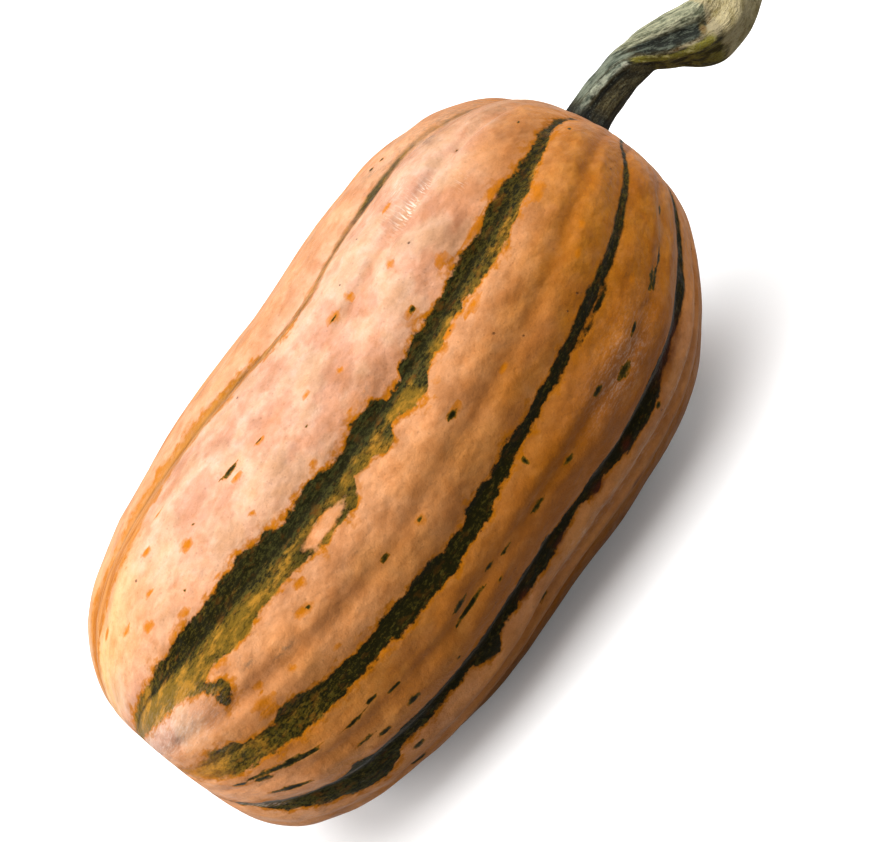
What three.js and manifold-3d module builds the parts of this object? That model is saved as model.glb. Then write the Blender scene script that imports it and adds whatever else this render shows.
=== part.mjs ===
// A delicata squash lying on its side, as picked: the ribbed fruit and its dry stem.
// Millimetres. X runs along the squash towards the stem, Z is up, and the origin is the rest spot.
import * as THREE from 'three';
import { mergeVertices } from 'three/addons/utils/BufferGeometryUtils.js';
import Module from 'manifold-3d';

// ---- the fruit ----
const fruitLength = 164.5;    // pole to pole, before the ends are dished
const lean = 27;              // degrees: the outlines below lie in a plane that leans back this far
const blossomDish = 2.5;      // how far the blossom end is dished
const stemDish = 5;           // how deep the stem sits
const dishReach = 14;         // the ring radius at which a dish has faded
// Heights of the upper and lower outline from the axis, from the blossom pole to the stem pole.
const upperLine = [3, 20, 33, 39.5, 43, 44.2, 46.4, 45, 36, 18.2, 13.6];
const lowerLine = [3, -22.3, -34.8, -40.6, -43.5, -42, -41, -35.7, -22.3, -7, 13.6];

// ---- its furrows ----
const furrowDepth = 2;
const furrowReach = 7;        // degrees from a furrow's line to its shoulder
const creaseDepth = 0.6;      // the shallow crease along the middle of each rib
const creaseReach = 0.1;      // in parts of the rib's width
// Each row is one furrow: the degrees round the fruit at five places from the blossom end to the
// stem end. 0 faces -Y, 90 is up.
const furrows = [
  [-50, -60, -50, -48, -44],
  [-4, -27, -24, -22, -8],
  [28, 10, 5, 13.5, 41],
  [68, 46, 41, 50, 84],
  [98, 99, 87, 92, 122],
  [133, 132, 126, 130, 156],
  [168, 167, 164, 168, 190],
  [203, 202, 203, 206, 222],
  [238, 240, 243, 243, 253],
  [273, 279, 283, 281, 284],
];
const stepsPerRib = 8;
const stepsAlong = 40;

// ---- the flat spot that it rests on ----
const restHeight = 41.3;      // from the axis down to the flat
const restCentre = [-12, 2];  // the middle of the flat, which is the origin of the part

// ---- the stem ----
// Ten places from its root to its cut end: how far along and above the axis its centre lies, its
// radius, the degrees that its first ridge has turned, and how deep its hollow is.
const stemAlong = [72, 79, 85, 91, 97, 102.5, 108, 113.3, 118, 122];
const stemRise = [14.4, 15.8, 16.4, 16.5, 15.3, 12.5, 9.6, 8.2, 8.9, 11.2];
const stemRadius = [5.6, 4.8, 4.5, 4.4, 4.5, 5.8, 6.5, 6.6, 6.5, 6.4];
const ridgeTurn = [34, 32, 28, 12, -34, -40, -36, -26, -12, -6];
const hollowDepth = [0, 0, 0, 0.04, 0.14, 0.24, 0.24, 0.1, 0, 0];
const hollowMiddle = 44;      // degrees past the first ridge
const hollowReach = 26;
const ridgeCount = 5;
const ridgeHeight = 0.2;      // in parts of the stem's radius, as the hollow's depth is
const stemStepsRound = 30;
const stemStepsAlong = 30;
const meetingGap = 0.35;      // clear space between the fruit and the stem

const toRadians = Math.PI / 180;
const leanSine = Math.sin(lean * toRadians);
const leanCosine = Math.cos(lean * toRadians);

// A smooth curve through evenly spaced values, read at t from 0 to 1.
function along(values, t) {
  const place = Math.min(Math.max(t, 0), 1) * (values.length - 1);
  const index = Math.min(Math.floor(place), values.length - 2);
  const part = place - index;
  const value = (i) => values[Math.min(Math.max(i, 0), values.length - 1)];
  const [before, from, to, after] = [value(index - 1), value(index), value(index + 1), value(index + 2)];
  const slope = to - before;
  const bend = 2 * before - 5 * from + 4 * to - after;
  const twist = 3 * (from - to) + after - before;
  return from + 0.5 * part * (slope + part * (bend + part * twist));
}

// How far the skin lies under a plain round section: furrows at a rib's two sides, a crease between.
function ribFall(part, ribDegrees) {
  const groove = (gap) => Math.exp(-Math.pow(gap / furrowReach, 1.5));
  const sides = groove(part * ribDegrees) + groove((1 - part) * ribDegrees);
  const crease = Math.exp(-Math.pow((part - 0.5) / creaseReach, 2));
  return furrowDepth * sides + creaseDepth * crease;
}

// A point of the skin: t from 0 at the blossom pole to 1 at the stem pole, turn counted in ribs.
function skinPoint(t, turn) {
  const side = 2 * t - 1;
  const upper = along(upperLine, t);
  const lower = along(lowerLine, t);
  const rise = (upper + lower) / 2;
  const place = THREE.MathUtils.euclideanModulo(turn, furrows.length);
  const rib = Math.floor(place);
  const part = place - rib;
  const start = along(furrows[rib], t);
  const isLast = rib === furrows.length - 1;
  const end = isLast ? along(furrows[0], t) + 360 : along(furrows[rib + 1], t);
  const angle = (start + (end - start) * part) * toRadians;
  const fade = 1 - Math.pow(Math.abs(side), 10);
  const mean = (upper - lower) / 2;
  const radius = mean - ribFall(part, end - start) * fade * Math.min(mean / 30, 1);
  const dish = Math.exp(-Math.pow(mean / dishReach, 2)) * (side < 0 ? blossomDish : -stemDish);
  const x = Math.sin(side * Math.PI / 2) * fruitLength / 2 + dish;
  const y = -radius * Math.cos(angle) + rise * leanSine;
  const z = radius * Math.sin(angle) + rise * leanCosine;
  return new THREE.Vector3(x, y, Math.max(z, -restHeight));
}

// The fruit is a sphere whose vertices are moved onto the skin.
function fruitShape() {
  const shape = new THREE.SphereGeometry(1, stepsPerRib * furrows.length, stepsAlong);
  const { position, uv } = shape.attributes;
  for (let i = 0; i < position.count; i += 1) {
    const point = skinPoint(1 - uv.getY(i), uv.getX(i) * furrows.length);
    position.setXYZ(i, point.x, point.y, point.z);
  }
  return closedShape(shape);
}

// The centre of the stem at t from 0 at its root to 1 at its cut end, in the leaning plane.
function stemCentre(t) {
  return new THREE.Vector2(along(stemAlong, t), along(stemRise, t));
}

// The stem's radius at an angle round it: sharp ridges, and one long hollow beside the first.
function barkRadius(t, angle) {
  const past = angle / toRadians - along(ridgeTurn, t);
  const ridge = Math.pow(0.5 + 0.5 * Math.cos(ridgeCount * past * toRadians), 1.5) - 0.4;
  const aside = THREE.MathUtils.euclideanModulo(past - hollowMiddle + 180, 360) - 180;
  const hollow = along(hollowDepth, t) * Math.exp(-Math.pow(aside / hollowReach, 2));
  return along(stemRadius, t) * (1 + ridgeHeight * ridge - hollow);
}

// A point of the stem, with out from 0 on its centre line to 1 on its bark. Angle 0 faces the
// front of the leaning plane.
function stemPoint(t, angle, out) {
  const step = 0.01;
  const centre = stemCentre(t);
  const heading = stemCentre(Math.min(t + step, 1)).sub(stemCentre(Math.max(t - step, 0))).normalize();
  const radius = barkRadius(t, angle) * out;
  const front = radius * Math.cos(angle);
  const over = radius * Math.sin(angle);
  const x = centre.x - over * heading.y;
  const rise = centre.y + over * heading.x;
  const y = rise * leanSine - front * leanCosine;
  const z = rise * leanCosine + front * leanSine;
  return new THREE.Vector3(x, y, z);
}

// The stem is a closed cylinder whose vertices are moved onto its bark and its two ends.
function stemShape() {
  const shape = new THREE.CylinderGeometry(1, 1, 1, stemStepsRound, stemStepsAlong);
  const { position } = shape.attributes;
  for (let i = 0; i < position.count; i += 1) {
    const [x, y, z] = [position.getX(i), position.getY(i), position.getZ(i)];
    const point = stemPoint(y + 0.5, Math.atan2(z, x), Math.hypot(x, z));
    position.setXYZ(i, point.x, point.y, point.z);
  }
  return closedShape(shape);
}

// Joins the vertices that lie on each other, so that the surface is closed.
function closedShape(shape) {
  shape.deleteAttribute('normal');
  shape.deleteAttribute('uv');
  return mergeVertices(shape, 1e-4);
}

const wasm = await Module();
wasm.setup();

function toSolid(shape) {
  const vertProperties = new Float32Array(shape.attributes.position.array);
  const triVerts = new Uint32Array(shape.index.array);
  return new wasm.Manifold(new wasm.Mesh({ numProp: 3, vertProperties, triVerts }));
}

function toShape(solid) {
  const { vertProperties, triVerts } = solid.getMesh();
  const shape = new THREE.BufferGeometry();
  shape.setAttribute('position', new THREE.BufferAttribute(vertProperties, 3));
  shape.setIndex(new THREE.BufferAttribute(triVerts, 1));
  return shape;
}

// The stem stops just short of the fruit, face to face with the dish that it grows from.
function trimmedStem(stem, fruit) {
  const keptClear = toSolid(fruit).translate([meetingGap, 0, 0]);
  return toShape(toSolid(stem).subtract(keptClear));
}

const skin = new THREE.MeshStandardMaterial({ color: 0xe8a878, roughness: 0.45, metalness: 0 });
const bark = new THREE.MeshStandardMaterial({ color: 0x5c5a44, roughness: 0.75, metalness: 0 });

const fruit = fruitShape();
const body = new THREE.Mesh(fruit, skin);
body.name = 'squash_body';

const stem = new THREE.Mesh(trimmedStem(stemShape(), fruit), bark);
stem.name = 'stem';

const squash = new THREE.Group();
squash.add(body, stem);
squash.position.set(-restCentre[0], -restCentre[1], restHeight);

export default squash;
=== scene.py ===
# A delicata squash lying on its side, with its dry stem, on a pale studio floor.
import math
import bpy
import numpy as np
from mathutils import Matrix, Vector


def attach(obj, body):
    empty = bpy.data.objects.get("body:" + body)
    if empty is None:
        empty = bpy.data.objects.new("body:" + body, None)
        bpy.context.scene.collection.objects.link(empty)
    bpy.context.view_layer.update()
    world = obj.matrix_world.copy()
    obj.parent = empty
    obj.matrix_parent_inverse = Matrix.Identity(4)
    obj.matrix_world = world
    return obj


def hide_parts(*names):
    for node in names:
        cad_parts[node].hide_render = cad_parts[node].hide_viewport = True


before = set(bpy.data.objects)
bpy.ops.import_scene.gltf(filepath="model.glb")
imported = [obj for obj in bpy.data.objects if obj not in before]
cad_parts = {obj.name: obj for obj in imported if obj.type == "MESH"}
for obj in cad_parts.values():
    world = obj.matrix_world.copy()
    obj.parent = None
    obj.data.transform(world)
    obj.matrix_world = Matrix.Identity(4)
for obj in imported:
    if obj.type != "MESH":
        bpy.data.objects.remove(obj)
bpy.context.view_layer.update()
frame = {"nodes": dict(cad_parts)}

millimetre = 0.001
groupShift = (12.0, -2.0, 41.3)  # mm from the fruit's own axis to the rest spot at the origin
print("frame loaded:", ", ".join(frame["nodes"]))


# The fruit's measures, in mm unless said otherwise.
fruit = {
    "length": 164.5,  # from pole to pole, before the ends are dished
    "lean": 27.0,  # degrees that the outlines' plane leans back
    "blossomDish": 2.5,
    "stemDish": 5.0,
    "dishReach": 14.0,
    "restHeight": 41.3,  # from the axis down to the flat spot
    # heights of the upper and lower outline, from the blossom pole to the stem pole
    "upperLine": [3, 20, 33, 39.5, 43, 44.2, 46.4, 45, 36, 18.2, 13.6],
    "lowerLine": [3, -22.3, -34.8, -40.6, -43.5, -42, -41, -35.7, -22.3, -7, 13.6],
    # degrees round the fruit of each furrow, at five places from end to end
    "furrows": [
        [-50, -60, -50, -48, -44], [-4, -27, -24, -22, -8], [28, 10, 5, 13.5, 41],
        [68, 46, 41, 50, 84], [98, 99, 87, 92, 122], [133, 132, 126, 130, 156],
        [168, 167, 164, 168, 190], [203, 202, 203, 206, 222], [238, 240, 243, 243, 253],
        [273, 279, 283, 281, 284],
    ],
    "furrowDepths": [2.2, 2.5, 2.1, 2.3, 2.0, 2.0, 2.2, 1.9, 2.2, 2.0],
    "furrowReach": 7.0,  # degrees from a furrow's line to its shoulder
    "furrowPower": 1.3,  # how sharp the furrow's line is: 2 is a round groove
    # the crease along each rib: where it lies in parts of the rib, and its depth, both as
    # (place from the blossom end, value), and its reach in parts of the rib
    "creases": [
        ([(0, 0.5)], [(0.2, 0.6), (0.45, 0.9), (0.55, 1.3), (0.7, 1.2), (0.85, 0.6)], 0.07),
        ([(0.4, 0.5), (0.6, 0.52), (0.78, 0.43)], [(0.1, 0.5), (0.4, 0.9)], 0.09),
        (
            [(0.1, 0.38), (0.42, 0.34), (0.5, 0.4), (0.6, 0.4), (0.7, 0.44), (0.8, 0.42)],
            [(0.1, 1.0), (0.3, 1.1), (0.42, 0.9), (0.5, 0.4), (0.58, 1.0), (0.7, 1.2)],
            0.08,
        ),
        ([(0.4, 0.5), (0.6, 0.55), (0.7, 0.56), (0.8, 0.51)], [(0.25, 0.3), (0.4, 0.7), (0.6, 1.1)], 0.05),
        ([(0, 0.52)], [(0, 0.6)], 0.1),
        ([(0, 0.5)], [(0.2, 0.5), (0.7, 1.0)], 0.08),
        ([(0, 0.46)], [(0.2, 0.9), (0.6, 0.5)], 0.1),
        ([(0, 0.52)], [(0, 0.7)], 0.09),
        ([(0, 0.5)], [(0.3, 0.5), (0.8, 1.0)], 0.08),
        ([(0, 0.48)], [(0, 0.7)], 0.1),
    ],
    "creaseWander": 0.025,  # parts of a rib
    # pillows and dimples: height, and how many along and round the fruit
    "lumps": [(0.5, 15, 30), (0.35, 27, 50), (0.19, 60, 100)],
    # the two ribs that make the outline are smoother and a little fuller: middle and reach in ribs
    "outlineRibs": [(4.6, 0.75), (0, 0.5)],
    "outlineCalm": 0.6,  # share of the lumps that those ribs lose
    "furrowCalm": 0.5,  # and that furrows lose
    "outlineFullness": 0.25,
    "fadeRadius": 30.0,  # below this radius, towards the poles, furrows and lumps fade out
    "rows": 340,
    "columnsPerRib": 28,
    "flowRadius": 42.0,  # of the straight tube that the skin's patterns are read on
    "seed": 4,
}
ribCount = len(fruit["furrows"])


# A smooth curve through evenly spaced values: a cubic between each two that leans on their
# neighbours, read at t from 0 to 1.
def curveAlong(values, t):
    values = np.asarray(values, float)
    last = len(values) - 1
    place = np.clip(t, 0, 1) * last
    index = np.minimum(place.astype(int), last - 1)
    part = place - index
    before, start, end, after = (values[np.clip(index + k, 0, last)] for k in (-1, 0, 1, 2))
    slope, bend = end - before, 2 * before - 5 * start + 4 * end - after
    twist = 3 * (start - end) + after - before
    return start + 0.5 * part * (slope + part * (bend + part * twist))


# A line through (place, value) pairs, read at t.
def readList(pairs, t):
    places, values = zip(*pairs)
    return np.interp(t, places, values)


def readHundredths(pairs, t):
    return readList(pairs, 100 * t) / 100


# 0 up to start and 1 from start + width on, straight between. A width below nothing turns it round.
def ramp(value, start, width):
    return np.clip((value - start) / width, 0, 1)


# 1 at the middle, falling off both ways as exp(-(distance / reach)^power).
def hump(value, middle, reach, power=2):
    return np.exp(-(np.abs((value - middle) / reach) ** power))


# How far a turn is past another the short way round, in ribs.
def turnsPast(turn, other):
    return (turn - other + ribCount / 2) % ribCount - ribCount / 2


# The same angle between -180 and 180 degrees.
def wrapped(degrees):
    return (degrees + 180) % 360 - 180


# Random heights on a coarse grid that closes round the piece, joined by smooth steps 3p² - 2p³.
def softNoise(seed, along, around, cellsAlong, cellsAround):
    heights = np.random.default_rng(seed).uniform(-1, 1, (cellsAlong + 2, cellsAround))
    u, v = along * cellsAlong, around * cellsAround
    row, column = np.floor(u).astype(int), np.floor(v).astype(int)
    p, q = u - row, v - column
    p, q = p * p * (3 - 2 * p), q * q * (3 - 2 * q)
    row = np.clip(row, 0, cellsAlong)
    near, far = column % cellsAround, (column + 1) % cellsAround
    low = heights[row, near] * (1 - q) + heights[row, far] * q
    high = heights[row + 1, near] * (1 - q) + heights[row + 1, far] * q
    return low * (1 - p) + high * p


# The rib that a point is on, how far across it, and where it starts and how wide it is in degrees.
def ribSpan(t, turn):
    rib = np.floor(turn % ribCount).astype(int)
    lines = np.stack([curveAlong(line, t) for line in fruit["furrows"]])
    lines = np.concatenate([lines, lines[:1] + 360])
    start = np.take_along_axis(lines, rib[None], 0)[0]
    end = np.take_along_axis(lines, rib[None] + 1, 0)[0]
    return rib, turn % ribCount - rib, start, end - start


# The skin at t from the blossom pole to the stem pole and at turn, counted in ribs: a ring about
# the line between the two outlines, less the furrows, the rib's crease and the lumps, with both
# ends dished and the underside cut flat where it rests.
def skinSurface(t, turn):
    rib, part, start, gap = ribSpan(t, turn)
    side = 2 * t - 1
    upper, lower = curveAlong(fruit["upperLine"], t), curveAlong(fruit["lowerLine"], t)
    rise, mean = (upper + lower) / 2, (upper - lower) / 2
    angle = np.radians(start + gap * part)
    depths = np.asarray(fruit["furrowDepths"])
    reach, power = fruit["furrowReach"], fruit["furrowPower"]
    startSide, endSide = hump(part * gap, 0, reach, power), hump((1 - part) * gap, 0, reach, power)
    furrow = startSide + endSide
    grooves = startSide * depths[rib] + endSide * depths[(rib + 1) % ribCount]
    around = turn / ribCount
    wander = fruit["creaseWander"] * softNoise(fruit["seed"] + 7, t, around, 14, 10)
    creases = np.zeros(t.shape)
    for index, (places, deep, width) in enumerate(fruit["creases"]):
        crease = readList(deep, t) * hump(part - wander, readList(places, t), width)
        creases = creases + crease * (rib == index)
    lumps = np.zeros(t.shape)
    for step, (height, along, across) in enumerate(fruit["lumps"]):
        lumps += height * softNoise(fruit["seed"] + step, t, around, along, across)
    outline = sum(hump(turnsPast(turn, middle), 0, width) for middle, width in fruit["outlineRibs"])
    lumps *= (1 - fruit["outlineCalm"] * outline) * (1 - fruit["furrowCalm"] * np.minimum(furrow, 1))
    fade = (1 - np.abs(side) ** 10) * np.minimum(mean / fruit["fadeRadius"], 1)
    radius = mean - (grooves + creases - lumps - fruit["outlineFullness"] * outline) * fade
    depth = np.where(side < 0, fruit["blossomDish"], -fruit["stemDish"])
    x = np.sin(side * np.pi / 2) * fruit["length"] / 2 + hump(mean, 0, fruit["dishReach"]) * depth
    lean = math.radians(fruit["lean"])
    y = -radius * np.cos(angle) + rise * math.sin(lean)
    z = np.maximum(radius * np.sin(angle) + rise * math.cos(lean), -fruit["restHeight"])
    facts = {"mean": mean, "angle": angle, "gap": gap, "furrow": furrow, "crease": np.minimum(creases, 1)}
    return np.stack([x, y, z], -1), facts


# One stripe lies about each furrow, as lists of (place, value), all in hundredths: places of the
# fruit's length from the blossom end, edges of a rib from the furrow, and shades mostly from 0 to
# 100. The span is where the stripe starts and ends.
stripes = [
    {
        "upper": [(10, 3), (30, 5), (45, 3.5), (60, 6), (75, 4), (88, 2)],
        "lower": [(10, -4), (25, -9), (40, -6), (55, -10), (70, -7), (88, -3)],
        "gold": [(0, 30), (50, 20), (100, 40)],
        "orange": [(0, 0), (30, 20), (40, 90), (75, 90), (85, 0)],
        "span": (9, 90),
    },
    {
        "upper": [
            (10, 4), (15, 8), (20, 8), (24, 10), (26, 20), (28, 10), (30, 15), (35, 12), (40, 10),
            (50, 7), (53, 0), (55, 1), (56.5, 8), (60, 6), (66, 13), (70, 10), (75, 2), (80, 0),
            (87, 2), (93, 1),
        ],
        "lower": [
            (10, -2), (13, -5), (15, -13), (20, -18), (24, -25), (27, -28), (29, -22), (30, -12),
            (35, -8), (39, -8), (40, -15), (41.5, -23), (43, -10), (47, -16), (50, -18), (54, -8),
            (56, -17), (57, -8), (60, -17), (64, -20), (67, -8), (70, -5), (75, -16), (80, -12),
            (87, -5), (93, -2),
        ],
        "gold": [(0, 30), (20, 0), (30, -20), (50, -32), (68, -30), (90, 0)],
        "teal": [(12, 10), (20, 40), (26, 35), (30, 20), (40, 0), (100, 0)],
        "span": (6, 95),
    },
    {
        "upper": [
            (8, 0), (12, 2), (16, 10), (19, 11), (20, 2), (24, 0), (25.5, 10), (27, 9), (30, 3),
            (35, 1), (38.5, 5), (43, 6), (44.5, 0), (47.5, 0), (48, 5), (50, 6), (51, 3), (53.5, 10),
            (55, 8), (60, 10), (67, 12), (70, 9), (75, 4), (80, -2), (82, 0), (84, 8), (86, 19),
            (90, 20),
        ],
        "lower": [
            (8, -12), (12, -22), (14, -25), (18, -25), (20, -20), (30, -18), (35, -14), (40, -16),
            (44, -18), (49, -16), (50, -12), (54, -5), (58, 0), (62, -1), (65, -5), (68, -5), (70, -2),
            (75, -7), (80, -10), (82, -8), (84, 0), (86, 12), (90, 14),
        ],
        "gold": [(0, 110), (14, 85), (20, 50), (26, 5), (34, -28), (60, -30), (90, 0)],
        "orange": [(0, 60), (11, 50), (17, 0), (100, 0)],
        "span": (5, 93),
    },
    {
        "upper": [
            (7, 4), (10, 6), (15, 6), (20, 8), (25, 10), (30, 10), (34, 12), (37, 10), (38.5, 5),
            (42, 10), (45.5, 4), (48, 9), (50, 6), (50.7, 0), (52.5, 0), (53, 5), (55, 7), (60, 6),
            (63, 9), (65, 6), (70, 10), (72, 6), (80, 5), (90, 2),
        ],
        "lower": [
            (7, -14), (12, -27), (15, -29), (19, -30), (21, -35), (22.2, -36), (23.5, -28), (24.5, -24),
            (27, -27), (29.5, -28), (32, -23), (36, -22), (39, -27), (43, -27), (44, -20), (44.7, -13),
            (46.5, -15), (47.5, -21), (48.7, -23), (49.3, -13), (50, -14), (51, -19), (53, -23),
            (54, -14), (60, -8), (62, -13), (64, -15), (70, -13), (75, -9), (80, -4), (90, -2),
        ],
        "gold": [(0, 160), (12, 130), (16, 80), (20, 0), (26, -20), (50, -15), (65, -5), (80, 10)],
        "goldBelow": [
            (0, 170), (17, 140), (22, 90), (25, 60), (27.5, 90), (31, 100), (34, 50), (42, 50),
            (45.5, 90), (47, 70), (48, 40), (49, 30), (50, 100), (52.2, 110), (53.2, 20), (54.5, 35),
            (55.8, 90), (60, 75), (63, 60), (66, 45), (80, 40),
        ],
        "teal": [(15, 10), (24, 0), (30, 10), (38, 35), (50, 40), (60, 25), (75, 0)],
        "span": (5, 84.5),
    },
    {
        "upper": [
            (10, 2), (15, 12), (20, 16), (24, 6), (27, 3), (32, 8), (40, 8), (46, 3), (50, -6),
            (54, -7), (58, 2), (60, 4), (63, 7), (66, 6), (70, 7), (74, 6), (80, 0), (90, 0),
        ],
        "lower": [
            (10, -14), (15, -21), (20, -27), (27, -27), (32, -16), (38, -6), (46, -5), (50, -12),
            (54, -13), (58, -3), (60, -1), (63, -1), (66, 0), (70, 3.5), (74, 3), (80, -4), (90, -4),
        ],
        "gold": [(0, 100), (45, 90), (50, 60), (60, 50), (64, 20), (67, 40), (72, 60), (90, 80)],
        "teal": [(0, 0), (60, 0), (62, 80), (65.5, 100), (67.5, 20), (70, 60), (74, 80), (78, 0)],
        "orange": [
            (0, 100), (30, 100), (36, 85), (42, 60), (48, 40), (55, 35), (60, 20), (63, 5), (70, 15),
            (100, 40),
        ],
        "span": (8, 88),
    },
    {
        "upper": [(10, 4), (30, 14), (42, 8), (55, 15), (70, 7), (90, 2)],
        "lower": [(10, -6), (25, -16), (40, -10), (50, -20), (62, -8), (90, -2)],
        "gold": [(0, 80), (30, 50), (60, 20), (90, 30)],
        "span": (7, 92),
    },
    {
        "upper": [(10, 6), (20, 16), (35, 8), (50, 12), (66, 5), (90, 2)],
        "lower": [(10, -8), (22, -20), (35, -24), (46, -12), (60, -16), (90, -3)],
        "gold": [(0, 70), (25, 30), (50, 15), (90, 25)],
        "span": (6, 94),
    },
    {
        "upper": [(10, 2), (30, 5), (50, 3), (70, 5), (90, 2)],
        "lower": [(10, -5), (30, -8), (44, -15), (60, -6), (90, -2)],
        "gold": [(0, 80), (40, 35), (90, 30)],
        "span": (8, 90),
    },
    {
        "upper": [(10, 8), (25, 18), (40, 11), (55, 16), (70, 6), (90, 2)],
        "lower": [(10, -5), (20, -12), (45, -9), (60, -14), (75, -6), (90, -2)],
        "gold": [(0, 60), (35, 20), (90, 20)],
        "span": (6, 93),
    },
    {
        "upper": [(10, 3), (30, 8), (50, 6), (70, 10), (90, 2)],
        "lower": [(10, -4), (30, -10), (50, -14), (70, -7), (90, -2)],
        "gold": [(0, 70), (40, 30), (90, 30)],
        "span": (7, 91),
    },
]
stripePaint = {
    "reach": 0.62,  # ribs to each side that a stripe can paint
    "endTaper": 0.15,  # how slowly its ends close
    "goldLine": -0.05,  # ribs past the furrow where the shade "goldBelow" takes over from "gold"
    "goldSoftness": 0.012,
    "blotGold": 0.3,
}

# Each blot, fleck and patch: place from the blossom end, turn in ribs, half its length and half its
# width in mm. Blots belong to a stripe, and islands are bare skin inside one.
blots = [
    (0.229, 2.61, 1.6, 1.7), (0.238, 2.545, 1.3, 1.7), (0.227, 2.475, 1.2, 1.8),
    (0.594, 2.92, 1.2, 0.8),
]
islands = [(0.402, 2.825, 6, 1.5), (0.652, 1.995, 5.5, 0.45)]
scarPatches = [
    (0.69, 0.95, 6, 2.2), (0.601, 0.9, 1.5, 1), (0.56, 0.88, 2.5, 1), (0.645, 0.26, 2, 0.8),
    (0.586, 0.32, 3, 0.8), (0.51, 0.86, 2, 0.8), (0.46, 0.88, 1.5, 1),
]
# Dark patches: partly painted shade that deepens the creases, and partly darker skin.
duskAndShadePatches = [
    (0.642, 3.18, 5, 3), (0.49, 3.13, 5, 2.5), (0.5, 3.3, 2, 2.5), (0.67, 3.35, 7, 3.5),
    (0.73, 3.17, 9, 2.5), (0.64, 3.42, 2.5, 2), (0.285, 2.45, 6, 1.5), (0.2, 1.86, 9, 3.5),
    (0.15, 1.75, 5, 3), (0.8, 1.86, 7, 2), (0.6, 2.32, 12, 2), (0.68, 1.82, 14, 2.5),
    (0.72, 3.85, 1.2, 5), (0.79, 3.85, 3, 1.5), (0.35, 3.75, 6, 1.5), (0.44, 3.5, 5, 1.6),
    (0.62, 1.62, 12, 2), (0.45, 6.5, 9, 4), (0.6, 8.5, 8, 4), (0.3, 5.5, 7, 4), (0.5, 9.4, 9, 4),
    (0.7, 7.4, 7, 3),
]
orangeFlecks = [
    (0.532, 3.575, 2, 0.9), (0.552, 3.565, 0.9, 1.1), (0.568, 3.165, 1.4, 0.9), (0.341, 2.53, 2.2, 1.1),
    (0.53, 2.545, 2.3, 1), (0.452, 2.3, 1.3, 1), (0.812, 2.8, 1.2, 0.9), (0.424, 3.455, 1.4, 0.7),
    (0.195, 3.63, 1.8, 0.5), (0.293, 3.6, 1.5, 0.8), (0.325, 3.71, 2.2, 0.4), (0.215, 3.43, 1.7, 0.7),
    (0.265, 3.4, 1.4, 0.6), (0.237, 3.28, 1.3, 1.2), (0.272, 3.15, 1.6, 0.9), (0.318, 3.14, 1.3, 0.7),
    (0.321, 3.39, 1.9, 1.2), (0.391, 3.415, 1.5, 0.8), (0.473, 3.405, 1.2, 0.6),
    (0.376, 3.21, 0.9, 0.7), (0.435, 3.13, 1.2, 0.6), (0.483, 3.14, 0.8, 0.5), (0.502, 3.32, 1, 0.7),
    (0.59, 3.43, 1.1, 0.8), (0.628, 3.72, 1.3, 0.8), (0.616, 3.17, 1.9, 1.1), (0.504, 3.86, 2.4, 0.5),
    (0.45, 3.93, 4, 0.5), (0.356, 2.69, 1.5, 1), (0.262, 2.36, 1, 0.8), (0.295, 2.28, 0.9, 0.7),
    (0.252, 2.225, 3, 1.1), (0.247, 2.12, 2.4, 0.9), (0.695, 3.115, 5, 0.7), (0.65, 3.1, 8, 0.8),
    (0.335, 2.155, 1, 0.6), (0.579, 2.41, 1.3, 0.6), (0.693, 2.305, 1.2, 0.7), (0.718, 2.355, 1.2, 0.6),
    (0.718, 2.8, 2.6, 1.5), (0.602, 2.83, 3.2, 0.9), (0.575, 2.88, 2.2, 0.7), (0.71, 1.75, 1.2, 0.7),
    (0.15, 1.57, 4.2, 0.5), (0.3, 5.4, 1.4, 0.8), (0.41, 5.62, 1.2, 0.7), (0.52, 5.3, 1.6, 0.8),
    (0.66, 5.5, 1.1, 0.7), (0.26, 6.6, 1.5, 0.8), (0.37, 6.45, 1.1, 0.8), (0.49, 6.7, 1.7, 0.7),
    (0.62, 6.35, 1.2, 0.8), (0.73, 6.6, 1.3, 0.7), (0.31, 7.6, 1.2, 0.8), (0.44, 7.35, 1.5, 0.9),
    (0.57, 7.65, 1.1, 0.7), (0.7, 7.45, 1.4, 0.8), (0.28, 8.5, 1.6, 0.9), (0.47, 8.65, 1.2, 0.7),
    (0.6, 8.4, 1.5, 0.8), (0.35, 9.6, 1.3, 0.7), (0.53, 9.4, 1.4, 0.8), (0.68, 9.62, 1.2, 0.7),
    (0.22, 4.6, 1.6, 0.8), (0.36, 4.45, 1.3, 0.7), (0.48, 4.7, 1.5, 0.8),
]
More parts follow.
